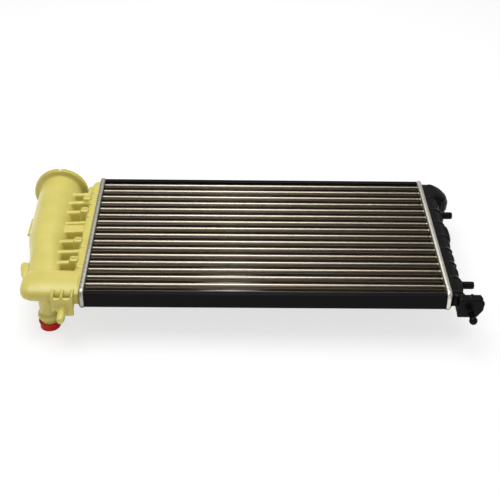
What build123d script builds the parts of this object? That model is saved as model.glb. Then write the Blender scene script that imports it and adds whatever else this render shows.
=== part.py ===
"""Car radiator, lying flat with its front face up: aluminium tube-and-fin core, two header
plates with gaskets, two moulded side tanks and the pieces that close them."""
from build123d import *
import os

os.makedirs("parts", exist_ok=True)

# ------------------------------------------------------------------ driving sizes (mm)
# Core. The tubes run along X between the two header plates.
core_width = 530.0
core_height = 322.0
tube_count = 17
tube_radius = 4.0
tube_wall = 0.4
tube_edge_margin = 12.2
row_z = 5.0
fin_depth = 21.2
fin_thickness = 0.6
fin_pitch = 10.0
fin_end_gap = 6.0
fin_collar_wall = 0.25
fin_side_gap = 0.2

# Side plates, one over each long edge of the core.
side_sheet = 1.2
side_flange = 8.5

# Header plates: shallow pressed trays whose rims are crimped over the tank feet.
header_sheet = 1.5
header_rim = 6.5
header_height = 326.0
header_depth = 31.0
header_corner = 10.0
lip_sheet = 1.2
lip_lap = 3.2
gasket_thickness = 2.0
tube_stick_out = 3.6

# Clearances.
running_gap = 0.05
seat_gap = 0.10
lay_gap = 0.02

# Tank feet and boxes.
foot_thickness = 2.8
tank_wall = 2.6
box_corner = 8.0
left_box_reach = 285.0
right_box_reach = 292.0
box_half_height = 159.0
box_half_depth = 12.6

# Header reservoir on the left tank.
reservoir_x = -342.5
reservoir_z = -19.0
reservoir_radius = 36.0
reservoir_foot_radius = 32.5
reservoir_top = 161.5
reservoir_foot = 0.0
collar_radius = 46.0
collar_thickness = 3.5
arm_near = -158.0
arm_far = -96.0
arm_left = -364.0
arm_low = -12.0
arm_high = 14.6
arm_fillet = 9.0

# Filler neck and cap.
neck_radius = 24.0
neck_bore = 20.0
neck_length = 14.0
cap_radius = 30.0
cap_skirt = 16.0
cap_top = 2.6
seal_thickness = 2.0
plug_length = 10.0
plug_radius = 19.2
cap_flutes = 12
cap_flute_radius = 3.0

# Outlet pipe at the left tank's foot, with its push-on transit cap.
outlet_x = -322.0
outlet_y = -138.0
outlet_radius = 13.5
outlet_bore = 10.5
bead_radius = 15.0
outlet_bead_z = -44.0
transit_cap_wall = 1.4
transit_cap_height = 12.0
bead_height = 3.0

# Inlet neck at the right tank's far end.
inlet_x = 298.0
inlet_y = 130.0
inlet_radius = 16.0
inlet_bore = 12.8

# Mounting pegs and brackets.
left_peg_x = -295.0
left_peg_radius = 6.0
peg_z = -10.0
peg_reach = -200.0
side_peg_radius = 5.75
side_peg_reach = 312.5
side_peg_y = (73.0, -118.0)
ball_x = 300.0
ball_y = -190.0
ball_radius = 6.2
ball_neck_radius = 4.25
bracket_near = -172.0
bracket_far = -165.0
rib_thickness = 2.4
peg_tip = 3.5
dome_fillet = 6.0
rib_clear = 0.4
inlet_low = -20.0
arm_root = 12.0

# ------------------------------------------------------------------ derived sizes
floor_z = reservoir_z - collar_radius
half_width = core_width / 2
rim_edge = half_width + header_rim
pipe_end = floor_z + transit_cap_wall
bracket_right = 319.0
x_low = reservoir_x - collar_radius
cap_end = reservoir_top + 2 * collar_thickness + neck_length + seal_thickness + cap_top
core_x = -(x_low + bracket_right) / 2
core_y = -(peg_reach + cap_end) / 2
core_z = -floor_z
core = Plane(origin=(core_x, core_y, core_z), x_dir=(1, 0, 0), z_dir=(0, 0, 1))
facing_right = Plane(origin=core.origin, x_dir=(0, 1, 0), z_dir=(1, 0, 0))
facing_near = Plane(origin=core.origin, x_dir=(1, 0, 0), z_dir=(0, -1, 0))

tube_pitch = (core_height - 2 * tube_edge_margin) / (tube_count - 1)
front_tubes = [(i - (tube_count - 1) / 2) * tube_pitch for i in range(tube_count)]
rear_tubes = [(i - (tube_count - 2) / 2) * tube_pitch for i in range(tube_count - 1)]
tube_places = [(y, row_z) for y in front_tubes] + [(y, -row_z) for y in rear_tubes]
tube_half_length = half_width + tube_stick_out


def save(piece, label):
    """Name a finished sub-part and write it to its own file."""
    piece.part.label = label
    export_step(piece.part, "parts/" + label + ".step")


# ------------------------------------------------------------------ tubes
def build_tube(y, z, label):
    with BuildPart() as tube:
        with BuildSketch(facing_right.offset(-tube_half_length)):
            with Locations((y, z)):
                Circle(tube_radius)
                Circle(tube_radius - tube_wall, mode=Mode.SUBTRACT)
        extrude(amount=2 * tube_half_length)
    save(tube, label)


for index, y in enumerate(front_tubes):
    build_tube(y, row_z, f"tube_front_{index + 1:02d}")
for index, y in enumerate(rear_tubes):
    build_tube(y, -row_z, f"tube_rear_{index + 1:02d}")

# ------------------------------------------------------------------ fin pack
fin_half_height = core_height / 2 - side_sheet - fin_side_gap
fin_span = core_width - 2 * fin_end_gap
fin_bays = int((fin_span - fin_thickness) / fin_pitch)
fin_start = -fin_bays * fin_pitch / 2
collar_radius_out = tube_radius + running_gap + fin_collar_wall

with BuildPart() as fin_pack:
    with BuildSketch(facing_right.offset(fin_start - fin_thickness / 2)):
        with Locations(*tube_places):
            Circle(collar_radius_out)
            Circle(tube_radius + running_gap, mode=Mode.SUBTRACT)
    extrude(amount=fin_bays * fin_pitch + fin_thickness)
    with BuildSketch(facing_right.offset(fin_start - fin_thickness / 2)):
        Rectangle(2 * fin_half_height, fin_depth)
        with Locations(*tube_places):
            Circle(collar_radius_out, mode=Mode.SUBTRACT)
    plate = extrude(amount=fin_thickness, mode=Mode.PRIVATE)
    with Locations(*[(index * fin_pitch, 0, 0) for index in range(fin_bays + 1)]):
        add(plate)
save(fin_pack, "fin_pack")


# ------------------------------------------------------------------ side plates
def build_side_plate(side, label):
    """U-channel over one long edge; side is +1 for the far edge and -1 for the near edge."""
    web = side * (core_height / 2 - side_sheet / 2)
    flange = side * (core_height / 2 - side_flange / 2)
    outer_z = fin_depth / 2 + side_sheet
    with BuildPart() as plate:
        with BuildSketch(facing_right.offset(-half_width)):
            with Locations((web, 0)):
                Rectangle(side_sheet, 2 * outer_z)
            with Locations((flange, outer_z - side_sheet / 2), (flange, side_sheet / 2 - outer_z)):
                Rectangle(side_flange, side_sheet)
        extrude(amount=core_width)
    save(plate, label)


build_side_plate(1, "side_plate_top")
build_side_plate(-1, "side_plate_bottom")


# ------------------------------------------------------------------ header plates and gaskets
seat_height = header_height - 2 * header_sheet
seat_depth = header_depth - 2 * header_sheet


def build_header(side, label):
    """Pressed tray with a crimped rim; side is +1 for the right end and -1 for the left end."""
    inner = facing_right.offset(side * half_width)
    floor = facing_right.offset(side * (half_width + header_sheet))
    rim = facing_right.offset(side * rim_edge)
    with BuildPart() as header:
        with BuildSketch(inner):
            RectangleRounded(header_height, header_depth, header_corner)
        extrude(amount=side * header_rim)
        with BuildSketch(floor):
            RectangleRounded(seat_height, seat_depth, header_corner - header_sheet)
        extrude(amount=side * header_rim, mode=Mode.SUBTRACT)
        with BuildSketch(inner):
            with Locations(*tube_places):
                Circle(tube_radius + running_gap)
        extrude(amount=side * header_sheet, mode=Mode.SUBTRACT)
        with BuildSketch(rim):
            RectangleRounded(header_height, header_depth, header_corner)
            RectangleRounded(
                header_height - 2 * lip_lap, header_depth - 2 * lip_lap, header_corner - lip_lap,
                mode=Mode.SUBTRACT,
            )
        extrude(amount=side * lip_sheet)
    save(header, label)


def build_gasket(side, label):
    """Rubber sheet in the header tray, sealed on every tube."""
    with BuildPart() as gasket:
        with BuildSketch(facing_right.offset(side * (half_width + header_sheet))):
            RectangleRounded(
                seat_height - 2 * seat_gap, seat_depth - 2 * seat_gap, header_corner - header_sheet
            )
            with Locations(*tube_places):
                Circle(tube_radius + lay_gap, mode=Mode.SUBTRACT)
        extrude(amount=side * gasket_thickness)
    save(gasket, label)


build_header(-1, "header_plate_left")
build_header(1, "header_plate_right")
build_gasket(-1, "gasket_left")
build_gasket(1, "gasket_right")

# ------------------------------------------------------------------ left tank
foot_face = half_width + header_sheet + gasket_thickness
foot_back = foot_face + foot_thickness
foot_height = seat_height - 2 * seat_gap
foot_depth = seat_depth - 2 * seat_gap
pocket_ribs = [-77.0, -48.5, -20.0, 8.5, 31.0, 63.0, 91.5, 120.0]
boss_x = -279.0
boss_places = [98.0, 61.0, -25.0, -76.0]


def arm_solid(inset, reach):
    """Horizontal arm from the box to under the reservoir, inset all round by a wall."""
    radius = (arm_far - arm_near) / 2 - inset
    middle = (arm_far + arm_near) / 2
    left = arm_left + inset + radius
    with BuildPart() as arm:
        with BuildSketch(core.offset(arm_low + inset)):
            with BuildLine():
                Polyline((left, middle + radius), (reach, middle + radius))
                Line((reach, middle + radius), (reach, middle - radius))
                Line((reach, middle - radius), (left, middle - radius))
                ThreePointArc(
                    (left, middle - radius), (left - radius, middle), (left, middle + radius)
                )
            make_face()
        extrude(amount=arm_high - arm_low - 2 * inset)
        rounded = arm.faces().filter_by(Axis.Z).edges()
        fillet(rounded.filter_by(Axis.Y, reverse=True), arm_fillet - inset)
    return arm.part


with BuildPart() as left_tank:
    # Foot and box over the header plate.
    with BuildSketch(facing_right.offset(-foot_face)):
        RectangleRounded(foot_height, foot_depth, header_corner - header_sheet - seat_gap)
    extrude(amount=-foot_thickness)
    with BuildSketch(facing_right.offset(-foot_back)):
        RectangleRounded(2 * box_half_height, 2 * box_half_depth - 2, box_corner)
    extrude(amount=-(left_box_reach - foot_back))
    # Web and cross ribs between the box and the reservoir.
    with BuildSketch(core.offset(arm_low)):
        with Locations(((-left_box_reach + reservoir_x) / 2, 25)):
            Rectangle(-reservoir_x - left_box_reach + 4, 240)
    extrude(amount=rib_thickness)
    for rib_y in pocket_ribs:
        with BuildSketch(facing_near.offset(-rib_y - rib_thickness / 2)):
            with BuildLine():
                Polyline(
                    (-left_box_reach + 1, arm_low),
                    (-left_box_reach + 1, box_half_depth - 4),
                    (reservoir_x + 22, box_half_depth - 8),
                    (reservoir_x + 22, arm_low),
                    close=True,
                )
            make_face()
        extrude(amount=rib_thickness)
    # Reservoir, its weld flange, and the run into the arm.
    with BuildSketch(facing_near.offset(-reservoir_top)):
        with Locations((reservoir_x, reservoir_z)):
            Circle(reservoir_radius)
    with BuildSketch(facing_near.offset(-reservoir_foot)):
        with Locations((reservoir_x + 2, reservoir_z + 2)):
            Circle(reservoir_foot_radius)
    loft()
    with BuildSketch(facing_near.offset(-reservoir_foot)):
        with Locations((reservoir_x + 2, reservoir_z + 2)):
            Circle(reservoir_foot_radius)
    with BuildSketch(facing_near.offset(-arm_far + 12)):
        with Locations(((arm_left - left_box_reach) / 2, (arm_low + arm_high) / 2)):
            RectangleRounded(-arm_left - left_box_reach - 8, arm_high - arm_low - 2, 11)
    loft()
    with BuildSketch(facing_near.offset(-reservoir_top)):
        with Locations((reservoir_x, reservoir_z)):
            Circle(collar_radius)
            with Locations((0, collar_radius)):
                RegularPolygon(4, 3, rotation=-90, mode=Mode.SUBTRACT)
    extrude(amount=-collar_thickness)
    add(arm_solid(0, -left_box_reach + 2 * tank_wall))
    # Outlet pipe with a hose bead.
    with BuildSketch(core.offset(arm_low + 4)):
        with Locations((outlet_x, outlet_y)):
            Circle(outlet_radius)
    extrude(amount=pipe_end - arm_low - 4)
    with BuildSketch(core.offset(outlet_bead_z - bead_height / 2)):
        with Locations((outlet_x, outlet_y)):
            Circle(bead_radius)
    extrude(amount=bead_height)
    # Bosses on the box, and the two lugs on the reservoir's outer side.
    with BuildSketch(core.offset(box_half_depth - 2)):
        with Locations(*[(boss_x, y) for y in boss_places]):
            Rectangle(10, 14)
    extrude(amount=4.5)
    with BuildSketch(core.offset(reservoir_z - 3)):
        with Locations((reservoir_x - 34, 57)):
            Rectangle(12, 54)
    extrude(amount=3)
    with BuildSketch(core.offset(arm_low)):
        with Locations((arm_left + 2, -80)):
            Rectangle(18, 34)
    extrude(amount=4)
    # Lower bracket with its gussets and mounting peg.
    with BuildSketch(facing_near.offset(-bracket_far)):
        with BuildLine():
            Polyline(
                (-311, -4), (-311, 9), (-279, 9), (-279, -21), (-290, -21), (-304, -12), close=True
            )
        make_face()
    extrude(amount=bracket_far - bracket_near)
    for gusset_x in (-309, -296, -281):
        with BuildSketch(facing_right.offset(gusset_x - rib_thickness / 2)):
            with BuildLine():
                Polyline(
                    (arm_near + 6, arm_high - 4), (bracket_near, 9), (bracket_near, -16),
                    (arm_near + 6, arm_low + 4), close=True,
                )
            make_face()
        extrude(amount=rib_thickness)
    with BuildSketch(facing_near.offset(-bracket_near)):
        with Locations((left_peg_x, peg_z)):
            Circle(left_peg_radius)
    extrude(amount=bracket_near - peg_reach)
    fillet(left_tank.edges().filter_by(GeomType.CIRCLE).sort_by(Axis.Y)[0], peg_tip)
    # Hollow: reservoir, arm, box and outlet bore open into one another.
    with BuildSketch(facing_near.offset(-reservoir_top - collar_thickness)):
        with Locations((reservoir_x, reservoir_z)):
            Circle(reservoir_radius - tank_wall)
    extrude(amount=collar_thickness, mode=Mode.SUBTRACT)
    with BuildSketch(facing_near.offset(-reservoir_top)):
        with Locations((reservoir_x, reservoir_z)):
            Circle(reservoir_radius - tank_wall)
    with BuildSketch(facing_near.offset(-reservoir_foot)):
        with Locations((reservoir_x + 2, reservoir_z + 2)):
            Circle(reservoir_foot_radius - tank_wall)
    loft(mode=Mode.SUBTRACT)
    with BuildSketch(facing_near.offset(-reservoir_foot)):
        with Locations((reservoir_x + 2, reservoir_z + 2)):
            Circle(reservoir_foot_radius - tank_wall)
    with BuildSketch(facing_near.offset(-arm_far + 12)):
        with Locations(((arm_left - left_box_reach) / 2, (arm_low + arm_high) / 2)):
            RectangleRounded(
                -arm_left - left_box_reach - 8 - 2 * tank_wall,
                arm_high - arm_low - 2 - 2 * tank_wall,
                11 - tank_wall,
            )
    loft(mode=Mode.SUBTRACT)
    add(arm_solid(tank_wall, -left_box_reach + 2 * tank_wall), mode=Mode.SUBTRACT)
    with BuildSketch(facing_right.offset(-foot_face)):
        RectangleRounded(
            2 * (box_half_height - tank_wall), 2 * (box_half_depth - 1 - tank_wall), box_corner - tank_wall
        )
    extrude(amount=-(left_box_reach - tank_wall - foot_face), mode=Mode.SUBTRACT)
    with BuildSketch(core.offset(0)):
        with Locations((outlet_x, outlet_y)):
            Circle(outlet_bore)
    extrude(amount=pipe_end, mode=Mode.SUBTRACT)
save(left_tank, "left_tank")

# ------------------------------------------------------------------ filler neck, cap and seal
neck_base = reservoir_top + collar_thickness
neck_top = neck_base + collar_thickness + neck_length

with BuildPart() as filler_neck:
    with BuildSketch(facing_near.offset(-neck_base)):
        with Locations((reservoir_x, reservoir_z)):
            Circle(collar_radius)
            with Locations((0, collar_radius)):
                RegularPolygon(4, 3, rotation=-90, mode=Mode.SUBTRACT)
    extrude(amount=-collar_thickness)
    with BuildSketch(facing_near.offset(-neck_base)):
        with Locations((reservoir_x, reservoir_z)):
            Circle(neck_radius)
    extrude(amount=-collar_thickness - neck_length)
    with BuildSketch(facing_near.offset(-neck_base)):
        with Locations((reservoir_x, reservoir_z)):
            Circle(neck_bore)
    extrude(amount=-collar_thickness - neck_length, mode=Mode.SUBTRACT)
save(filler_neck, "filler_neck")

with BuildPart() as cap_seal:
    with BuildSketch(facing_near.offset(-neck_top)):
        with Locations((reservoir_x, reservoir_z)):
            Circle(neck_radius)
            Circle(plug_radius + lay_gap, mode=Mode.SUBTRACT)
    extrude(amount=-seal_thickness)
save(cap_seal, "cap_seal")

with BuildPart() as filler_cap:
    with BuildSketch(facing_near.offset(-neck_top - seal_thickness)):
        with Locations((reservoir_x, reservoir_z)):
            Circle(cap_radius)
    extrude(amount=-cap_top)
    with BuildSketch(facing_near.offset(-neck_top - seal_thickness)):
        with Locations((reservoir_x, reservoir_z)):
            Circle(cap_radius)
            Circle(neck_radius + running_gap, mode=Mode.SUBTRACT)
    extrude(amount=cap_skirt)
    with BuildSketch(facing_near.offset(-neck_top - seal_thickness)):
        with Locations((reservoir_x, reservoir_z)):
            Circle(plug_radius)
    extrude(amount=plug_length)
    with BuildSketch(facing_near.offset(-neck_top - seal_thickness - cap_top)):
        with Locations((reservoir_x, reservoir_z)):
            with PolarLocations(cap_radius, cap_flutes):
                Circle(cap_flute_radius)
    extrude(amount=cap_skirt + cap_top, mode=Mode.SUBTRACT)
save(filler_cap, "filler_cap")

# ------------------------------------------------------------------ transit cap on the outlet
with BuildPart() as transit_cap:
    with BuildSketch(core.offset(floor_z)):
        with Locations((outlet_x, outlet_y)):
            Circle(outlet_radius + running_gap + transit_cap_wall)
    extrude(amount=transit_cap_height)
    with BuildSketch(core.offset(floor_z + transit_cap_wall)):
        with Locations((outlet_x, outlet_y)):
            Circle(outlet_radius + running_gap)
    extrude(amount=transit_cap_height, mode=Mode.SUBTRACT)
    with BuildSketch(core.offset(floor_z + transit_cap_height)):
        with Locations((outlet_x, outlet_y)):
            Circle(outlet_radius + running_gap + 2 * transit_cap_wall)
            Circle(outlet_radius + running_gap, mode=Mode.SUBTRACT)
    extrude(amount=-transit_cap_wall)
save(transit_cap, "transit_cap")

# ------------------------------------------------------------------ right tank
rib_root = rim_edge + lip_sheet + rib_clear
rib_places = [(i - 4) * 2 * tube_pitch for i in range(9)]

with BuildPart() as right_tank:
    with BuildSketch(facing_right.offset(foot_face)):
        RectangleRounded(foot_height, foot_depth, header_corner - header_sheet - seat_gap)
    extrude(amount=foot_thickness)
    with BuildSketch(facing_right.offset(foot_back)):
        RectangleRounded(2 * box_half_height, 2 * box_half_depth - 2, box_corner)
    extrude(amount=right_box_reach - foot_back)
    dome = right_tank.faces().sort_by(Axis.X)[-1].edges()
    fillet(dome, dome_fillet)
    # Ribs across the box, standing a little proud of it.
    for rib_y in rib_places:
        with BuildSketch(facing_near.offset(-rib_y - rib_thickness / 2)):
            with BuildLine():
                Polyline(
                    (rib_root, box_half_depth - 0.2), (right_box_reach - 5, box_half_depth - 0.2),
                    (right_box_reach + 1.2, box_half_depth - 7), (right_box_reach + 1.2, 7 - box_half_depth),
                    (right_box_reach - 5, 0.2 - box_half_depth), (rib_root, 0.2 - box_half_depth),
                    close=True,
                )
            make_face()
        extrude(amount=rib_thickness)
    # Thickened middle, inlet chamber and inlet neck.
    with BuildSketch(core.offset(3 - box_half_depth)):
        with Locations((right_box_reach, 12)):
            RectangleRounded(14, 46, 6.5)
    extrude(amount=2 * box_half_depth - 6)
    with BuildSketch(core.offset(inlet_low)):
        with Locations((inlet_x, inlet_y)):
            Circle(inlet_radius + tank_wall)
        with Locations((inlet_x - 12, inlet_y + 4)):
            Rectangle(24, 48)
    extrude(amount=box_half_depth - 1 - inlet_low)
    with BuildSketch(core.offset(inlet_low)):
        with Locations((inlet_x, inlet_y)):
            Circle(inlet_radius)
    extrude(amount=floor_z - inlet_low)
    with BuildSketch(core.offset(floor_z + 9)):
        with Locations((inlet_x, inlet_y)):
            Circle(inlet_radius + 1.5)
    extrude(amount=bead_height)
    # Side pegs, upper bracket and ball peg.
    for peg_y in side_peg_y:
        with BuildSketch(facing_right.offset(right_box_reach - 4)):
            with Locations((peg_y, 0)):
                Circle(side_peg_radius)
        extrude(amount=side_peg_reach - right_box_reach + 4)
        with BuildSketch(facing_right.offset(right_box_reach - 4)):
            with Locations((peg_y, 0)):
                Circle(side_peg_radius + 3)
        extrude(amount=5.2)
    with BuildSketch(facing_near.offset(-bracket_far)):
        with BuildLine():
            Polyline(
                (281, 9), (bracket_right - 5, 9), (bracket_right, 4), (bracket_right - 2, -8),
                (bracket_right - 10, -19), (281, -19), close=True,
            )
        make_face()
    extrude(amount=bracket_far - bracket_near)
    with BuildSketch(core.offset(-8)):
        with Locations((287, bracket_far + arm_root / 2)):
            Rectangle(11, arm_root)
    extrude(amount=15)
    with BuildSketch(core.offset(9 - rib_thickness)):
        with Locations((299, bracket_near + 8)):
            Rectangle(32, 16)
    extrude(amount=rib_thickness)
    with BuildSketch(facing_near.offset(-bracket_near)):
        with Locations((ball_x, peg_z)):
            Circle(ball_neck_radius)
    extrude(amount=bracket_near - ball_y)
    with Locations(core.location * Location((ball_x, ball_y, peg_z))):
        Sphere(ball_radius)
    # Hollow: box, chamber and inlet bore.
    with BuildSketch(facing_right.offset(foot_face)):
        RectangleRounded(
            2 * (box_half_height - tank_wall), 2 * (box_half_depth - 1 - tank_wall), box_corner - tank_wall
        )
    extrude(amount=right_box_reach - tank_wall - foot_face, mode=Mode.SUBTRACT)
    with BuildSketch(core.offset(box_half_depth - 1 - tank_wall)):
        with Locations((inlet_x, inlet_y)):
            Circle(inlet_bore)
    extrude(amount=floor_z - box_half_depth + 1 + tank_wall, mode=Mode.SUBTRACT)
save(right_tank, "right_tank")
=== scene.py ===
"""Car radiator on a plain studio floor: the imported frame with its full-density fins,
moulded details and finishes."""

import logging
import math
from dataclasses import dataclass
from enum import Enum

import bmesh
import bpy
from mathutils import Matrix, Vector


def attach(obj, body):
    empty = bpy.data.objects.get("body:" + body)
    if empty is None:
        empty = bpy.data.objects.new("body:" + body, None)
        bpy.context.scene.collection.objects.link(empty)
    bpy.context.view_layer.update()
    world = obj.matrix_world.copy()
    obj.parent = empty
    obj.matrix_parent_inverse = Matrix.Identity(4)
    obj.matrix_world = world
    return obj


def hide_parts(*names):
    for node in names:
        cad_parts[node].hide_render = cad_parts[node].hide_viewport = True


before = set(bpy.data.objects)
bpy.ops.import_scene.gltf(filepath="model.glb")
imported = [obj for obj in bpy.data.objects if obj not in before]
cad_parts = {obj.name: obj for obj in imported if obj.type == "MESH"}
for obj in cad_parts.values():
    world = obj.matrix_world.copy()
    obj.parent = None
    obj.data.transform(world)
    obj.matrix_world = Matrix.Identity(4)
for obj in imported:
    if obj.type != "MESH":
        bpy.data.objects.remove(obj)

LOG = logging.getLogger("radiator")
MM = 0.001
CORE = Vector((34.75, 6.45, 65.0)) * MM  # the core's centre in the row frame

# Sockets of the Mix node when it mixes colours.
MIX_LOW, MIX_HIGH, MIX_RESULT = 6, 7, 2

# Marks and grain of every finish: cells in a metre, then octaves.
BROAD_MARKS = (28.0, 3.0)
FINE_GRAIN = (900.0, 2.0)
EVEN = Vector((1.0, 1.0, 1.0))
DRAWN_OUT = Vector((0.06, 1.0, 1.0))  # a tube is drawn along X
COLOUR_SHARES = (0.8, 0.2)
ROUGHNESS_SHARES = (0.08, 0.04)
ROUGHNESS_DROP = 0.06
BROAD_BUMP_SHARE = 0.5
BUMP_DEPTH = 0.12 * MM
BUMP_STRENGTH = 0.12
MOULDED_BUMP_STRENGTH = 0.25
BEVEL_SAMPLES = 6

# Light that travels in natural nylon: red, green and blue shares, and how far.
SCATTER_SHARES = (0.9, 0.7, 0.25)
SCATTER_REACH = 4 * MM


class Surface(Enum):
    """Kinds of surface that share one recipe of marks and grain."""

    SHEET = "sheet metal"
    DRAWN = "drawn tube"
    MOULDED = "moulded plastic"
    PAINTED = "painted metal"
    RUBBER = "rubber"


class Axis(Enum):
    """The axis that a solid's rings or outlines are square to."""

    X = 0
    Y = 1
    Z = 2

    def point(self, at: float, first: float, second: float) -> Vector:
        """Set a place on this axis among the values on the other two.

        Args:
            at: the value on this axis.
            first: the value on the first of the other axes.
            second: the value on the second of the other axes.

        Returns:
            The point.
        """
        values = [first, second]
        values.insert(self.value, at)
        return Vector(values)


class Tone:
    """A shader value that can be added, taken away and multiplied like a number."""

    def __init__(self, graph: "Graph", socket: bpy.types.NodeSocket) -> None:
        """Wrap one output socket.

        Args:
            graph: the node graph that the socket belongs to.
            socket: the output to wrap.
        """
        self.graph = graph
        self.socket = socket

    def _math(self, operation: str, first: object, second: object) -> "Tone":
        """Join two values with a Math node.

        Args:
            operation: the Math node's operation.
            first: a Tone or a number.
            second: a Tone or a number.

        Returns:
            The result as a Tone.
        """
        node = self.graph.add("ShaderNodeMath", operation=operation)
        for socket, value in zip(node.inputs, (first, second)):
            if isinstance(value, Tone):
                self.graph.tree.links.new(value.socket, socket)
            else:
                socket.default_value = value
        return Tone(self.graph, node.outputs[0])

    def __add__(self, other: object) -> "Tone":
        """Return this value plus another."""
        return self._math("ADD", self, other)

    def __radd__(self, other: object) -> "Tone":
        """Return another value plus this one."""
        return self._math("ADD", other, self)

    def __sub__(self, other: object) -> "Tone":
        """Return this value less another."""
        return self._math("SUBTRACT", self, other)

    def __rsub__(self, other: object) -> "Tone":
        """Return another value less this one."""
        return self._math("SUBTRACT", other, self)

    def __mul__(self, other: object) -> "Tone":
        """Return this value times another."""
        return self._math("MULTIPLY", self, other)

    def __rmul__(self, other: object) -> "Tone":
        """Return another value times this one."""
        return self._math("MULTIPLY", other, self)


class Graph:
    """The node tree of one material."""

    def __init__(self, name: str) -> None:
        """Start an empty node material.

        Args:
            name: the material's name.
        """
        self.material = bpy.data.materials.new(name)
        self.material.use_nodes = True
        self.tree = self.material.node_tree
        self.tree.nodes.clear()
        self.coords = self.add("ShaderNodeTexCoord").outputs["Object"]

    def add(self, kind: str, **settings: object) -> bpy.types.Node:
        """Add a node and set its properties.

        Args:
            kind: the node's type name.
            **settings: properties of the node.

        Returns:
            The new node.
        """
        node = self.tree.nodes.new(kind)
        for key, value in settings.items():
            setattr(node, key, value)
        return node

    def noise(self, scale: float, detail: float, stretch: Vector) -> Tone:
        """Return a noise field over the object.

        Args:
            scale: cells in a metre.
            detail: octaves.
            stretch: factor along each axis.

        Returns:
            The field, from 0 to 1.
        """
        mapping = self.add("ShaderNodeMapping")
        mapping.inputs["Scale"].default_value = stretch
        self.tree.links.new(self.coords, mapping.inputs["Vector"])
        node = self.add("ShaderNodeTexNoise")
        node.inputs["Scale"].default_value = scale
        node.inputs["Detail"].default_value = detail
        self.tree.links.new(mapping.outputs[0], node.inputs["Vector"])
        return Tone(self, node.outputs["Fac"])

    def blend(self, factor: Tone, low: tuple, high: tuple) -> bpy.types.NodeSocket:
        """Mix two colours by a factor.

        Args:
            factor: 0 gives low and 1 gives high.
            low: linear colour.
            high: linear colour.

        Returns:
            The colour output.
        """
        node = self.add("ShaderNodeMix", data_type="RGBA")
        self.tree.links.new(factor.socket, node.inputs[0])
        node.inputs[MIX_LOW].default_value = (*low, 1.0)
        node.inputs[MIX_HIGH].default_value = (*high, 1.0)
        return node.outputs[MIX_RESULT]


@dataclass(frozen=True)
class Finish:
    """One finish of the real object; its edge is the softening of corners, in mm."""

    name: str
    surface: Surface
    colour: tuple
    shade: tuple
    roughness: float
    metallic: float = 0.0
    coat: float = 0.0
    subsurface: float = 0.0
    edge: float = 0.6
    specular: float = 0.5

    def material(self) -> bpy.types.Material:
        """Build the node material.

        Returns:
            The material, with its grain, marks and softened edges.
        """
        graph = Graph(self.name)
        links = graph.tree.links
        shader = graph.add("ShaderNodeBsdfPrincipled")
        shader.inputs["Metallic"].default_value = self.metallic
        shader.inputs["Coat Weight"].default_value = self.coat
        shader.inputs["Subsurface Weight"].default_value = self.subsurface
        shader.inputs["Specular IOR Level"].default_value = self.specular
        shader.inputs["Subsurface Radius"].default_value = SCATTER_SHARES
        shader.inputs["Subsurface Scale"].default_value = SCATTER_REACH
        stretch = DRAWN_OUT if self.surface is Surface.DRAWN else EVEN
        broad = graph.noise(*BROAD_MARKS, stretch)
        fine = graph.noise(*FINE_GRAIN, stretch)
        marks = broad * COLOUR_SHARES[0] + fine * COLOUR_SHARES[1]
        links.new(graph.blend(marks, self.shade, self.colour), shader.inputs["Base Color"])
        base = self.roughness - ROUGHNESS_DROP
        rough = base + broad * ROUGHNESS_SHARES[0] + fine * ROUGHNESS_SHARES[1]
        links.new(rough.socket, shader.inputs["Roughness"])
        bump = graph.add("ShaderNodeBump")
        moulded = self.surface is Surface.MOULDED
        bump.inputs["Strength"].default_value = MOULDED_BUMP_STRENGTH if moulded else BUMP_STRENGTH
        bump.inputs["Distance"].default_value = BUMP_DEPTH
        links.new((broad * BROAD_BUMP_SHARE + fine).socket, bump.inputs["Height"])
        if self.edge:
            bevel = graph.add("ShaderNodeBevel", samples=BEVEL_SAMPLES)
            bevel.inputs["Radius"].default_value = self.edge * MM
            links.new(bevel.outputs[0], bump.inputs["Normal"])
        links.new(bump.outputs[0], shader.inputs["Normal"])
        output = graph.add("ShaderNodeOutputMaterial")
        links.new(shader.outputs[0], output.inputs["Surface"])
        return graph.material


NYLON = Finish(
    "natural nylon", Surface.MOULDED, (0.64, 0.55, 0.15), (0.46, 0.41, 0.08),
    roughness=0.32, subsurface=0.25, edge=0.0,
)
BLACK_NYLON = Finish(
    "black nylon", Surface.MOULDED, (0.004, 0.0035, 0.0035), (0.002, 0.002, 0.002),
    roughness=0.30, edge=0.0, specular=0.10,
)
TUBE = Finish(
    "drawn tube", Surface.DRAWN, (0.50, 0.44, 0.35), (0.42, 0.36, 0.29),
    roughness=0.28, metallic=1.0, edge=0.0,
)
# Fin foil painted dark brown-grey: painted shade deep in the core between the tubes, not the foil's
# own colour.
SHADED_FIN = Finish(
    "fin foil with painted shade", Surface.SHEET, (0.13, 0.105, 0.078), (0.07, 0.056, 0.04),
    roughness=0.42, metallic=1.0, edge=0.0,
)
# The same foil painted lighter than the fins: a painted highlight where the louvres catch light,
# still darker than bare foil from the painted shade of the core.
LIT_LOUVRE = Finish(
    "louvre foil with painted highlight", Surface.SHEET, (0.36, 0.30, 0.22), (0.26, 0.21, 0.15),
    roughness=0.5, metallic=1.0, edge=0.0,
)
HEADER = Finish(
    "pressed header", Surface.SHEET, (0.86, 0.83, 0.74), (0.60, 0.57, 0.50),
    roughness=0.36, metallic=1.0, edge=0.0,
)
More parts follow.
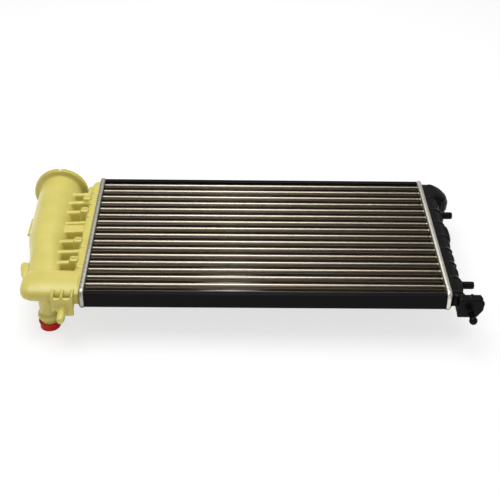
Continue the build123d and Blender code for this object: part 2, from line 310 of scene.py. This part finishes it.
# The header aluminium again, painted darker for the left end: painted shade, not a different finish.
SHADED_HEADER = Finish(
    "header with painted shade", Surface.SHEET, (0.52, 0.50, 0.44), (0.34, 0.32, 0.27),
    roughness=0.42, metallic=1.0, edge=0.0,
)
PAINT = Finish(
    "black side plate", Surface.PAINTED, (0.004, 0.004, 0.0045), (0.002, 0.002, 0.0025),
    roughness=0.32, edge=0.5, specular=0.07,
)
GASKET = Finish(
    "gasket rubber", Surface.RUBBER, (0.010, 0.010, 0.010), (0.007, 0.007, 0.007), roughness=0.7,
)
CAP = Finish(
    "cap plastic", Surface.MOULDED, (0.014, 0.014, 0.015), (0.010, 0.010, 0.011), roughness=0.45,
)
RED = Finish(
    "red plastic", Surface.MOULDED, (0.60, 0.010, 0.003), (0.46, 0.006, 0.002),
    roughness=0.34, specular=0.3,
)


class Assembly:
    """Base of every sub-assembly: makes its pieces and hangs them on its body."""

    body = "radiator"

    def piece(
        self, name: str, mesh: bmesh.types.BMesh, finish: bpy.types.Material, slot: str,
        smooth: bool = False,
    ) -> bpy.types.Object:
        """Turn a bmesh into a named piece that rides on a body.

        Args:
            name: the piece's name.
            mesh: its geometry, in metres in the row frame.
            finish: its material.
            slot: the record's material slot; not used.
            smooth: whether its faces are shaded smooth.

        Returns:
            The new object.
        """
        bmesh.ops.recalc_face_normals(mesh, faces=mesh.faces)
        data = bpy.data.meshes.new(name)
        mesh.to_mesh(data)
        mesh.free()
        data.materials.append(finish)
        if smooth:
            data.shade_smooth()
        made = bpy.data.objects.new(name, data)
        bpy.context.scene.collection.objects.link(made)
        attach(made, self.body)
        LOG.info("%s: %d faces", name, len(data.polygons))
        return made


@dataclass
class FinStack(Assembly):
    """Foil fins at their real spacing, with the louvres between the tubes (mm)."""

    span: float = 529.2
    pitch: float = 1.25
    foil: float = 0.11
    half_height: float = 159.6
    half_depth: float = 10.6
    set_back: float = 0.2
    blocks: int = 3
    drift: float = 0.05
    drift_turn: float = 1.7
    edge_wave: float = 0.16
    edge_turn: float = 2.399
    tube_pitch: float = 18.6
    tubes: int = 17
    louvre_z: float = 9.8
    louvre_shift: float = 11.4
    louvre_width: float = 2.0
    louvre_share: float = 0.42
    louvre_twist: tuple = (0.35, -0.35, -0.1, 0.6)
    louvre_lift: float = 0.25
    lift_turn: float = 3.1

    def build(self) -> None:
        """Make the fins in blocks, then the louvres."""
        # The fins take the foil painted dark as painted shade in the core.
        finish = SHADED_FIN.material()
        count = int(self.span / self.pitch)
        blocks = []
        for block in range(self.blocks):
            mesh = bmesh.new()
            for index in range(block * count // self.blocks, (block + 1) * count // self.blocks):
                x = -self.span / 2 + (index + 0.5) * self.pitch
                wave = self.edge_wave * math.sin(index * self.edge_turn)
                self._fin(mesh, x + self.drift * math.sin(index * self.drift_turn), wave)
            blocks.append(self.piece(f"fins_{block + 1}", mesh, finish, "fin_aluminium"))
        for made in blocks:
            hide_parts("fin_pack")
        mesh = bmesh.new()
        for row in range(self.tubes - 1):
            y = (row - (self.tubes - 1) / 2 + 1) * self.tube_pitch - self.louvre_shift
            for index in range(count - 1):
                x = -self.span / 2 + (index + 1.0) * self.pitch
                lift = self.louvre_lift * math.sin(index * self.lift_turn + row)
                self._louvre(mesh, x, y, lift)
        # The louvres are painted lighter than the fins: painted highlight.
        made = self.piece("fin_louvres", mesh, LIT_LOUVRE.material(), "fin_aluminium")
        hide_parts("fin_pack")

    def _fin(self, mesh: bmesh.types.BMesh, x: float, wave: float) -> None:
        """Add one foil plate.

        Args:
            mesh: the mesh to add to.
            x: where the plate stands.
            wave: how much deeper it is than the plain plate, for a slightly uneven face.
        """
        size = Vector((self.foil, 2 * self.half_height, 2 * self.half_depth + wave)) * MM
        centre = CORE + Vector((x, 0, -self.set_back)) * MM
        made = bmesh.ops.create_cube(mesh, size=1.0)
        place = Matrix.Translation(centre) @ Matrix.Diagonal((*size, 1.0))
        bmesh.ops.transform(mesh, matrix=place, verts=made["verts"])

    def _louvre(self, mesh: bmesh.types.BMesh, x: float, y: float, lift: float) -> None:
        """Add one bent louvre between two fins.

        Args:
            mesh: the mesh to add to.
            x: its middle along the tubes.
            y: its middle across the tubes.
            lift: how far it stands above its usual place.
        """
        half_x = self.pitch * self.louvre_share
        half_y = self.louvre_width / 2
        signs = ((-1, -1), (1, -1), (1, 1), (-1, 1))
        corners = []
        for (sign_x, sign_y), twist in zip(signs, self.louvre_twist):
            corner = Vector((x + sign_x * half_x, y + sign_y * half_y, self.louvre_z + lift + twist))
            corners.append(mesh.verts.new(CORE + corner * MM))
        mesh.faces.new(corners)


@dataclass
class SoftTank(Assembly):
    """A moulded tank: rounded solids run together into one soft skin (mm, from the core's centre)."""

    voxel: float = 1.15
    softening: int = 5
    pull: float = 0.5
    sides: int = 40

    def ring(
        self, axis: Axis, at: float, centre: tuple, half: tuple, power: float = 2.0
    ) -> list:
        """Return one closed superellipse ring across an axis.

        Args:
            axis: the axis the ring is square to.
            at: where the ring sits on that axis.
            centre: its centre on the other two axes.
            half: its half sizes on the other two axes.
            power: 2 gives an ellipse and larger values a squarer outline.

        Returns:
            The ring's points in order.
        """
        points = []
        for step in range(self.sides):
            turn = 2 * math.pi * step / self.sides
            across, up = math.cos(turn), math.sin(turn)
            wide = math.copysign(abs(across) ** (2 / power), across) * half[0] + centre[0]
            tall = math.copysign(abs(up) ** (2 / power), up) * half[1] + centre[1]
            points.append(axis.point(at, wide, tall))
        return points

    def run(self, mesh: bmesh.types.BMesh, rings: list) -> None:
        """Bridge rings into one closed solid.

        Args:
            mesh: the mesh to add to.
            rings: rings of equal length, in order.
        """
        loops = [[mesh.verts.new(CORE + point * MM) for point in ring] for ring in rings]
        for first, second in zip(loops, loops[1:]):
            for i in range(len(first)):
                j = (i + 1) % len(first)
                mesh.faces.new((first[i], first[j], second[j], second[i]))
        mesh.faces.new(loops[0])
        mesh.faces.new(loops[-1])

    def turned(self, mesh: bmesh.types.BMesh, axis: Axis, centre: tuple, stages: tuple) -> None:
        """Add a round solid.

        Args:
            mesh: the mesh to add to.
            axis: the axis it is turned about.
            centre: where that axis lies on the other two.
            stages: places on the axis, each with the radius there, in order.
        """
        self.run(mesh, [self.ring(axis, at, centre, (radius, radius)) for at, radius in stages])

    def slab(self, mesh: bmesh.types.BMesh, axis: Axis, outline: tuple, ends: tuple) -> None:
        """Add an outline that is carried along an axis.

        Args:
            mesh: the mesh to add to.
            axis: the axis that the outline is square to.
            outline: its corners on the other two axes, in order.
            ends: where it starts and ends on the axis.
        """
        self.run(mesh, [[axis.point(at, *corner) for corner in outline] for at in ends])

    def block(
        self, mesh: bmesh.types.BMesh, low: tuple, high: tuple, lean: tuple = (0, 0)
    ) -> None:
        """Add a box whose top may lean.

        Args:
            mesh: the mesh to add to.
            low: its lowest corner.
            high: its highest corner.
            lean: how far the top is moved along X and Y.
        """
        made = bmesh.ops.create_cube(mesh, size=1.0)
        for vert in made["verts"]:
            top = vert.co.z > 0
            for axis in range(3):
                vert.co[axis] = (low, high)[vert.co[axis] > 0][axis]
            vert.co.x += lean[0] * top
            vert.co.y += lean[1] * top
            vert.co = CORE + vert.co * MM

    def skin(
        self, name: str, mesh: bmesh.types.BMesh, finish: Finish, slot: str
    ) -> bpy.types.Object:
        """Run the solids together and soften every edge, as a mould does.

        Args:
            name: the piece's name.
            mesh: overlapping closed solids.
            finish: its finish.
            slot: the record's material slot.

        Returns:
            The new object.
        """
        made = self.piece(name, mesh, finish.material(), slot, smooth=True)
        merge = made.modifiers.new("run together", "REMESH")
        merge.mode = "VOXEL"
        merge.voxel_size = self.voxel * MM
        merge.use_smooth_shade = True
        soften = made.modifiers.new("soften", "SMOOTH")
        soften.factor = self.pull
        soften.iterations = self.softening
        return made


@dataclass
class ReservoirTank(SoftTank):
    """The natural nylon tank with its header reservoir."""

    foot_squareness: float = 12.0
    box_squareness: float = 9.0
    weld_centre: tuple = (-342.5, -19.0)
    outlet_centre: tuple = (-322.0, -138.0)
    peg_centre: tuple = (-295.0, -10.0)
    pockets: tuple = (107.0, 77.0, 50.0, -5.0, -35.0, -62.0, -91.0)
    widest_pocket: float = 40.0
    pocket_rib: tuple = (5.0, 9.5)
    bosses: tuple = (98.0, 61.0, -25.0, -76.0)
    boss_x: float = -289.0
    boss_flare: float = 0.8
    pads: tuple = (84.0, 46.0, -40.0, -92.0, 120.0)
    pad_half: float = 5.0
    gussets: tuple = (-309.3, -296.0, -281.2)
    gusset_half: float = 1.5

    def build(self) -> None:
        """Make the tank's soft skin, in place of the plain node."""
        mesh = bmesh.new()
        self._reservoir(mesh)
        self._box(mesh)
        self._ribs(mesh)
        self._outlet(mesh)
        self._bracket(mesh)
        made = self.skin("reservoir_tank", mesh, NYLON, "natural_nylon")
        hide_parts("left_tank")

    def _reservoir(self, mesh: bmesh.types.BMesh) -> None:
        """Add the reservoir, its weld flange, the arm, the two lugs and the hook on its side.

        Args:
            mesh: the mesh to add to.
        """
        # Place along Y, centre in X and Z, half sizes in X and Z, squareness.
        line = (
            (163.0, -342.5, -19.0, 36.0, 36.0, 2.0), (120.0, -342.3, -18.6, 35.8, 35.8, 2.0),
            (60.0, -341.6, -17.6, 34.6, 34.8, 2.0), (10.0, -340.6, -15.6, 33.0, 33.0, 2.0),
            (-20.0, -338.6, -12.4, 28.6, 29.2, 2.0), (-45.0, -336.6, -8.0, 25.6, 24.0, 2.1),
            (-72.0, -334.0, -4.6, 24.6, 18.5, 2.2), (-110.0, -331.0, -1.4, 24.0, 13.0, 2.4),
        )
        self.run(mesh, [
            self.ring(Axis.Y, y, (x, z), (wide, tall), power) for y, x, z, wide, tall, power in line
        ])
        self.turned(mesh, Axis.Y, self.weld_centre, ((160.9, 43.6), (161.5, 45.8), (165.0, 45.8)))
        arm_centre, arm_squareness = (-127.0, 1.0), 2.5
        arm = (
            (-361.0, 10.0, 3.0), (-359.4, 19.0, 7.5), (-355.0, 26.0, 11.0), (-347.0, 30.0, 13.0),
            (-333.0, 31.3, 13.8), (-300.0, 31.3, 13.6), (-276.0, 30.6, 12.6),
        )
        self.run(mesh, [
            self.ring(Axis.X, x, arm_centre, (wide, tall), arm_squareness) for x, wide, tall in arm
        ])
        self.block(mesh, (-381.0, 34.0, -21.5), (-372.0, 84.0, -18.5))
        self.block(mesh, (-379.5, 36.0, -24.0), (-374.0, 44.0, -16.5))
        hook_x, hook_z, hook_from, hook_lean, hook_squareness = -362.5, -6.0, 100, 0.10, 3.0
        hook = (
            (-100.0, 2.0, 2.0), (-92.0, 4.5, 3.2), (-78.0, 6.4, 4.0), (-68.0, 6.8, 4.4),
            (-62.0, 4.0, 3.0),
        )
        rings = []
        for y, wide, tall in hook:
            centre = (hook_x - (y + hook_from) * hook_lean, hook_z)
            rings.append(self.ring(Axis.Y, y, centre, (wide, tall), hook_squareness))
        self.run(mesh, rings)

    def _box(self, mesh: bmesh.types.BMesh) -> None:
        """Add the foot and the box over the header.

        Args:
            mesh: the mesh to add to.
        """
        foot = ((-268.6, 161.2, 13.8), (-273.2, 159.4, 12.2))
        self.run(mesh, [
            self.ring(Axis.X, x, (0.0, 0.0), (wide, tall), self.foot_squareness)
            for x, wide, tall in foot
        ])
        box = (
            (-272.0, 158.6, 12.0), (-279.0, 158.4, 12.0), (-283.5, 156.0, 10.4),
            (-286.0, 151.0, 7.0),
        )
        self.run(mesh, [
            self.ring(Axis.X, x, (0.0, -0.4), (wide, tall), self.box_squareness)
            for x, wide, tall in box
        ])
        self.block(mesh, (-320.0, -100.0, -13.0), (-283.0, 141.0, -8.0))
        self.block(mesh, (-292.0, 118.0, -11.0), (-282.0, 146.0, 6.0))

    def _ribs(self, mesh: bmesh.types.BMesh) -> None:
        """Add the soft ribs between the pockets, the broad band, the bosses and the pads.

        Args:
            mesh: the mesh to add to.
        """
        for first, second in zip(self.pockets, self.pockets[1:]):
            if first - second < self.widest_pocket:
                self._rib(mesh, (first + second) / 2, *self.pocket_rib)
        for rib in ((121.0, 5.0, 7.0), (34.0, 4.0, 7.5), (20.0, 9.0, 5.2), (9.0, 3.0, 7.5)):
            self._rib(mesh, *rib)
        self.block(mesh, (-322.0, 12.5, 0.0), (-284.0, 27.0, 6.6))
        for y in self.bosses:
            centre = (self.boss_x, y)
            self.run(mesh, [
                self.ring(Axis.Z, z, centre, (half, half + self.boss_flare), 4.0)
                for z, half in ((-6.0, 8.0), (10.0, 7.0), (15.2, 6.2))
            ])
            self.turned(mesh, Axis.Z, centre, ((14.0, 3.4), (17.8, 3.0)))
        for y in self.pads:
            low = (-284.0, y - self.pad_half, 9.0)
            high = (-276.0, y + self.pad_half, 14.0)
            self.block(mesh, low, high, (1.5, 0.0))

    def _rib(self, mesh: bmesh.types.BMesh, y: float, half: float, top: float) -> None:
        """Add one rounded rib from the box to the reservoir.

        Args:
            mesh: the mesh to add to.
            y: the rib's middle.
            half: half its width.
            top: its height over the core's middle plane.
        """
        bottom, squareness = 11, 4.0
        rows = ((-282.0, top + 1.5), (-296.0, top), (-308.0, top - 0.5), (-324.0, top - 1.5))
        self.run(mesh, [
            self.ring(Axis.X, x, (y, (high - bottom) / 2), (half, (high + bottom) / 2), squareness)
            for x, high in rows
        ])

    def _outlet(self, mesh: bmesh.types.BMesh) -> None:
        """Add the outlet pipe and its hose bead, as an outer skin that is closed at the end."""
        stages = (
            (0.0, 15.4), (-14.0, 14.6), (-20.0, 13.6), (-36.0, 13.2), (-39.5, 16.6), (-45.5, 16.8),
            (-49.0, 13.2), (-63.4, 13.2),
        )
        self.turned(mesh, Axis.Z, self.outlet_centre, stages)

    def _bracket(self, mesh: bmesh.types.BMesh) -> None:
        """Add the lower bracket, its pointed gussets and the mounting peg.

        Args:
            mesh: the mesh to add to.
        """
        outline = (
            (-311.0, 9.0), (-279.5, 9.0), (-279.5, -21.0), (-291.0, -21.0), (-305.0, -12.0),
            (-311.0, -4.0),
        )
        self.slab(mesh, Axis.Y, outline, (-171.8, -165.2))
        gusset = ((-150.0, 12.5), (-169.5, 13.8), (-171.8, 9.0), (-171.8, -14.0), (-150.0, -8.0))
        for x in self.gussets:
            self.slab(mesh, Axis.X, gusset, (x - self.gusset_half, x + self.gusset_half))
        peg = ((-168.0, 6.2), (-192.0, 5.9), (-197.5, 4.8), (-199.6, 2.4))
        collar = ((-168.0, 8.6), (-174.5, 7.8))
        for stages in (peg, collar):
            self.turned(mesh, Axis.Y, self.peg_centre, stages)


@dataclass
class BlackTank(SoftTank):
    """The black nylon tank with its swollen bays, pegs, bracket and inlet neck."""

    foot_squareness: float = 12.0
    box_squareness: float = 9.0
    bay: float = 37.2
    ribs: int = 9
    rib_half: float = 1.9
    rib_squareness: float = 6.0
    bay_x: float = 288.4
    pegs: tuple = (73.0, -118.0)
    inlet_centre: tuple = (298.0, 130.0)
    ball_centre: tuple = (300.0, -10.0)
    ball_y: float = -190.0
    ball_radius: float = 6.3
    ball_rings: int = 12

    def build(self) -> None:
        """Make the tank's soft skin, in place of the plain node."""
        mesh = bmesh.new()
        self._box(mesh)
        self._chamber(mesh)
        self._pegs(mesh)
        self._bracket(mesh)
        made = self.skin("black_tank", mesh, BLACK_NYLON, "black_nylon")
        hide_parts("right_tank")

    def _box(self, mesh: bmesh.types.BMesh) -> None:
        """Add the foot, the box, its ribs and the swellings between them.

        Args:
            mesh: the mesh to add to.
        """
        foot = ((268.6, 161.2, 13.8), (273.0, 159.4, 12.2))
        self.run(mesh, [
            self.ring(Axis.X, x, (0.0, 0.0), (wide, tall), self.foot_squareness)
            for x, wide, tall in foot
        ])
        box = (
            (271.6, 158.6, 12.0), (282.0, 158.4, 12.0), (287.0, 157.0, 10.4), (290.5, 154.0, 7.5),
        )
        self.run(mesh, [
            self.ring(Axis.X, x, (0.0, -0.3), (wide, tall), self.box_squareness)
            for x, wide, tall in box
        ])
        rib = ((273.2, 12.3), (284.0, 12.6), (290.0, 10.4), (294.2, 6.0))
        swelling = ((-10.0, 4.0, 11.0), (-7.0, 5.6, 14.4), (5.0, 5.6, 14.4), (9.0, 3.4, 10.5))
        for index in range(self.ribs):
            y = (index - (self.ribs - 1) / 2) * self.bay
            self.run(mesh, [
                self.ring(Axis.X, x, (y, -0.2), (self.rib_half, tall), self.rib_squareness)
                for x, tall in rib
            ])
            if index + 1 < self.ribs:
                self.run(mesh, [
                    self.ring(Axis.Z, z, (self.bay_x, y + self.bay / 2), (wide, tall))
                    for z, wide, tall in swelling
                ])
        middle, middle_squareness = (291.0, 12.0), 2.6
        bulge = ((-9.5, 6.0, 20.0), (-6.0, 7.6, 23.0), (4.0, 7.4, 23.0), (9.0, 5.0, 18.0))
        self.run(mesh, [
            self.ring(Axis.Z, z, middle, (wide, tall), middle_squareness) for z, wide, tall in bulge
        ])

    def _chamber(self, mesh: bmesh.types.BMesh) -> None:
        """Add the inlet chamber, and the inlet neck as an outer skin closed at the end.

        Args:
            mesh: the mesh to add to.
        """
        # Place along Z, centre in X and Y, half sizes in X and Y.
        chamber = (
            (-20.0, 297.8, 130.0, 17.6, 18.4), (-6.0, 297.8, 130.0, 18.2, 18.6),
            (3.0, 294.5, 130.5, 17.6, 20.0), (8.5, 290.0, 132.0, 15.0, 21.0),
            (12.0, 285.0, 134.0, 10.0, 20.0),
        )
        squareness = 2.2
        self.run(mesh, [
            self.ring(Axis.Z, z, (x, y), (wide, tall), squareness) for z, x, y, wide, tall in chamber
        ])
        neck = (
            (-18.0, 16.0), (-53.0, 15.8), (-55.0, 17.4), (-58.0, 17.4), (-60.0, 15.9),
            (-64.8, 15.7),
        )
        self.turned(mesh, Axis.Z, self.inlet_centre, neck)
        self.block(mesh, (296.0, 104.0, -9.0), (302.0, 112.0, -2.0))

    def _pegs(self, mesh: bmesh.types.BMesh) -> None:
        """Add the two side pegs on their round bosses.

        Args:
            mesh: the mesh to add to.
        """
        boss = ((286.0, 9.4), (293.6, 8.8), (294.4, 6.0))
        peg = ((288.0, 5.9), (311.6, 5.9), (312.8, 5.2))
        for y in self.pegs:
            for stages in (boss, peg):
                self.turned(mesh, Axis.X, (y, 0.0), stages)

    def _bracket(self, mesh: bmesh.types.BMesh) -> None:
        """Add the bracket at the near end, its top flange and the ball peg.

        Args:
            mesh: the mesh to add to.
        """
        outline = (
            (281.0, 13.0), (313.0, 13.0), (318.6, 7.0), (317.8, -6.0), (309.5, -19.0), (280.8, -19.0),
        )
        self.slab(mesh, Axis.Y, outline, (-172.0, -165.0))
        flange = (
            (283.0, -172.0), (313.5, -172.0), (316.5, -166.0), (314.0, -157.5), (283.0, -157.5),
        )
        self.slab(mesh, Axis.Z, flange, (8.6, 13.2))
        self.block(mesh, (280.6, -167.0, -16.0), (292.5, -152.0, 10.0))
        self.block(mesh, (298.5, -163.0, 11.0), (302.5, -159.0, 16.0))
        stem = ((-168.0, 6.4), (-173.6, 4.8), (-182.0, 4.4), (-187.0, 4.4))
        turns = [step * math.pi / self.ball_rings for step in range(1, self.ball_rings)]
        ball = tuple(
            (self.ball_y + self.ball_radius * math.cos(turn), self.ball_radius * math.sin(turn))
            for turn in turns
        )
        for stages in (stem, ball):
            self.turned(mesh, Axis.Y, self.ball_centre, stages)


@dataclass
class HeaderRims(Assembly):
    """Pressed header plates with the rim rolled over the tank foot (mm, from the core's centre)."""

    face: float = 265.0
    half_y: float = 163.4
    half_z: float = 15.9
    corner: float = 9.6
    corner_steps: int = 8
    step_length: float = 1.55
    crimp_pitch: float = 12.4
    crimp_from: float = 5.0
    least_half: float = 1.5
    section: tuple = (
        (0.0, -14.0), (0.0, -1.2), (0.35, -0.3), (1.4, 0.25), (3.4, 0.5), (5.2, 0.35),
        (6.6, -0.35), (7.5, -1.7), (7.6, -3.2), (6.5, -3.3), (6.3, -1.7), (1.5, -1.6),
        (1.5, -14.0),
    )

    def build(self) -> None:
        """Make both plates."""
        # The left plate takes the header aluminium painted darker: painted shade.
        plates = (
            (-1, "header_plate_left", 1.1, SHADED_HEADER), (1, "header_plate_right", 0.3, HEADER),
        )
        for side, node, depth, finish in plates:
            mesh = bmesh.new()
            self._rim(mesh, side, depth)
            made = self.piece(
                f"rolled_{node}", mesh, finish.material(), "header_aluminium", smooth=True
            )
            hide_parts(node)

    def _outline(self) -> list:
        """Walk round the rounded outline of the rim.

        Returns:
            Points in order, each with its outward direction.
        """
        found = []
        straight_y = self.half_y - self.corner
        straight_z = self.half_z - self.corner
        turns = ((1, 1, 0.0), (-1, 1, 90.0), (-1, -1, 180.0), (1, -1, 270.0))
        for index, (sign_y, sign_z, start) in enumerate(turns):
            centre = Vector((0, sign_y * straight_y, sign_z * straight_z))
            for step in range(self.corner_steps + 1):
                angle = math.radians(start + step * 90 / self.corner_steps)
                out = Vector((0, math.cos(angle), math.sin(angle)))
                found.append((centre + out * self.corner, out))
            after = turns[(index + 1) % len(turns)]
            goal = Vector((0, after[0] * straight_y, after[1] * straight_z)) + out * self.corner
            origin = found[-1][0]
            count = max(2, int((goal - origin).length / self.step_length))
            found += [(origin.lerp(goal, step / count), out) for step in range(1, count)]
        return found

    def _rim(self, mesh: bmesh.types.BMesh, side: int, depth: float) -> None:
        """Sweep the rim's section round the outline, with a crimp pressed in at each tab.

        Args:
            mesh: the mesh to add to.
            side: 1 for the right end and -1 for the left end.
            depth: how deep each crimp is pressed.
        """
        rings = []
        for point, out in self._outline():
            wave = max(0.0, math.cos(2 * math.pi * point.y / self.crimp_pitch)) ** 2 * depth
            ring = []
            for x, lift in self.section:
                reach = max(lift, self.least_half - self.half_z)
                reach -= wave if x > self.crimp_from else 0.0
                place = point + out * reach
                place.x = side * (self.face + x)
                ring.append(mesh.verts.new(CORE + place * MM))
            rings.append(ring)
        for first, second in zip(rings, rings[1:] + rings[:1]):
            for i in range(len(first)):
                j = (i + 1) % len(first)
                mesh.faces.new((first[i], first[j], second[j], second[i]))


@dataclass
class FrameFinishes(Assembly):
    """Finishes of the nodes whose shape is carried over."""

    def build(self) -> None:
        """Give every carried-over node its finish."""
        finishes = {
            "tube_": TUBE, "header_": HEADER, "gasket_": GASKET, "side_": PAINT,
            "left_tank": NYLON, "filler_neck": NYLON, "right_tank": BLACK_NYLON,
            "filler_cap": CAP, "cap_seal": GASKET, "transit_cap": RED,
        }
        for start, finish in finishes.items():
            material = finish.material()
            for name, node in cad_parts.items():
                if name.startswith(start):
                    for place in node.material_slots:
                        place.material = material
                    LOG.info("%s: %s", name, finish.name)


@dataclass
class Studio:
    """Camera, floor and soft light; the spot is in mm from the core's centre, the rest in m."""

    sensor: float = 36.0
    lens: float = 73.97
    spot: tuple = (-52.6, -1344.3, 920.9)
    right: tuple = (0.99978, -0.01167, 0.01712)
    up: tuple = (-0.00733, 0.57390, 0.81889)
    ahead: tuple = (0.01938, 0.81884, -0.57369)
    floor_size: float = 6.0
    floor_colour: tuple = (0.96, 0.96, 0.96, 1.0)
    floor_glow: float = 0.7
    sky_strength: float = 0.42
    white: tuple = (1.0, 1.0, 1.0, 1.0)
    key: tuple = ((-0.25, 0.35, 1.6), (1.9, 1.2), 30.0)
    front: tuple = ((0.1, -1.7, 0.9), (1.6, 0.8), 3.0)

    def build(self) -> None:
        """Set up the camera, the floor, the world and the lights."""
        scene = bpy.context.scene
        scene.view_settings.view_transform = "Standard"
        camera = bpy.data.objects.new("camera", bpy.data.cameras.new("camera"))
        camera.data.sensor_width = self.sensor
        camera.data.lens = self.lens
        back = -Vector(self.ahead)
        turn = Matrix((self.right, self.up, back)).transposed().to_4x4()
        camera.matrix_world = Matrix.Translation(CORE + Vector(self.spot) * MM) @ turn
        scene.collection.objects.link(camera)
        scene.camera = camera
        self._floor()
        self._world()
        self._light("key", *self.key)
        self._light("front", *self.front)

    def _floor(self) -> None:
        """Lay a pale floor under the object, brightened where the camera sees it."""
        mesh = bmesh.new()
        bmesh.ops.create_grid(mesh, x_segments=1, y_segments=1, size=self.floor_size)
        data = bpy.data.meshes.new("floor")
        mesh.to_mesh(data)
        mesh.free()
        graph = Graph("floor")
        shader = graph.add("ShaderNodeBsdfDiffuse")
        shader.inputs["Color"].default_value = self.floor_colour
        glow = graph.add("ShaderNodeEmission")
        path = graph.add("ShaderNodeLightPath")
        seen = Tone(graph, path.outputs["Is Camera Ray"]) * self.floor_glow
        mix = graph.add("ShaderNodeMixShader")
        output = graph.add("ShaderNodeOutputMaterial")
        graph.tree.links.new(seen.socket, mix.inputs[0])
        graph.tree.links.new(shader.outputs[0], mix.inputs[1])
        graph.tree.links.new(glow.outputs[0], mix.inputs[2])
        graph.tree.links.new(mix.outputs[0], output.inputs["Surface"])
        data.materials.append(graph.material)
        floor = bpy.data.objects.new("floor", data)
        bpy.context.scene.collection.objects.link(floor)

    def _world(self) -> None:
        """Surround the object with even light, white where the camera sees it."""
        world = bpy.data.worlds.new("studio")
        bpy.context.scene.world = world
        world.use_nodes = True
        tree = world.node_tree
        tree.nodes.clear()
        soft = tree.nodes.new("ShaderNodeBackground")
        soft.inputs["Strength"].default_value = self.sky_strength
        white = tree.nodes.new("ShaderNodeBackground")
        mix = tree.nodes.new("ShaderNodeMixShader")
        path = tree.nodes.new("ShaderNodeLightPath")
        output = tree.nodes.new("ShaderNodeOutputWorld")
        soft.inputs["Color"].default_value = self.white
        white.inputs["Color"].default_value = self.white
        tree.links.new(path.outputs["Is Camera Ray"], mix.inputs[0])
        tree.links.new(soft.outputs[0], mix.inputs[1])
        tree.links.new(white.outputs[0], mix.inputs[2])
        tree.links.new(mix.outputs[0], output.inputs["Surface"])

    def _light(self, name: str, place: tuple, size: tuple, power: float) -> None:
        """Hang one soft box that points at the core.

        Args:
            name: the light's name.
            place: where it hangs, in metres.
            size: its width and height, in metres.
            power: its power, in watts.
        """
        data = bpy.data.lights.new(name, "AREA")
        data.shape = "RECTANGLE"
        data.size, data.size_y = size
        data.energy = power
        light = bpy.data.objects.new(name, data)
        aim = (CORE - Vector(place)).to_track_quat("-Z", "Y").to_matrix().to_4x4()
        light.matrix_world = Matrix.Translation(Vector(place)) @ aim
        bpy.context.scene.collection.objects.link(light)


def main() -> None:
    """Build every sub-assembly in order."""
    logging.basicConfig(level=logging.INFO, format="%(message)s")
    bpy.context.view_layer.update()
    parts = (FrameFinishes(), FinStack(), HeaderRims(), ReservoirTank(), BlackTank(), Studio())
    for part in parts:
        LOG.info("building %s", type(part).__name__)
        part.build()


if __name__ == "__main__":
    main()
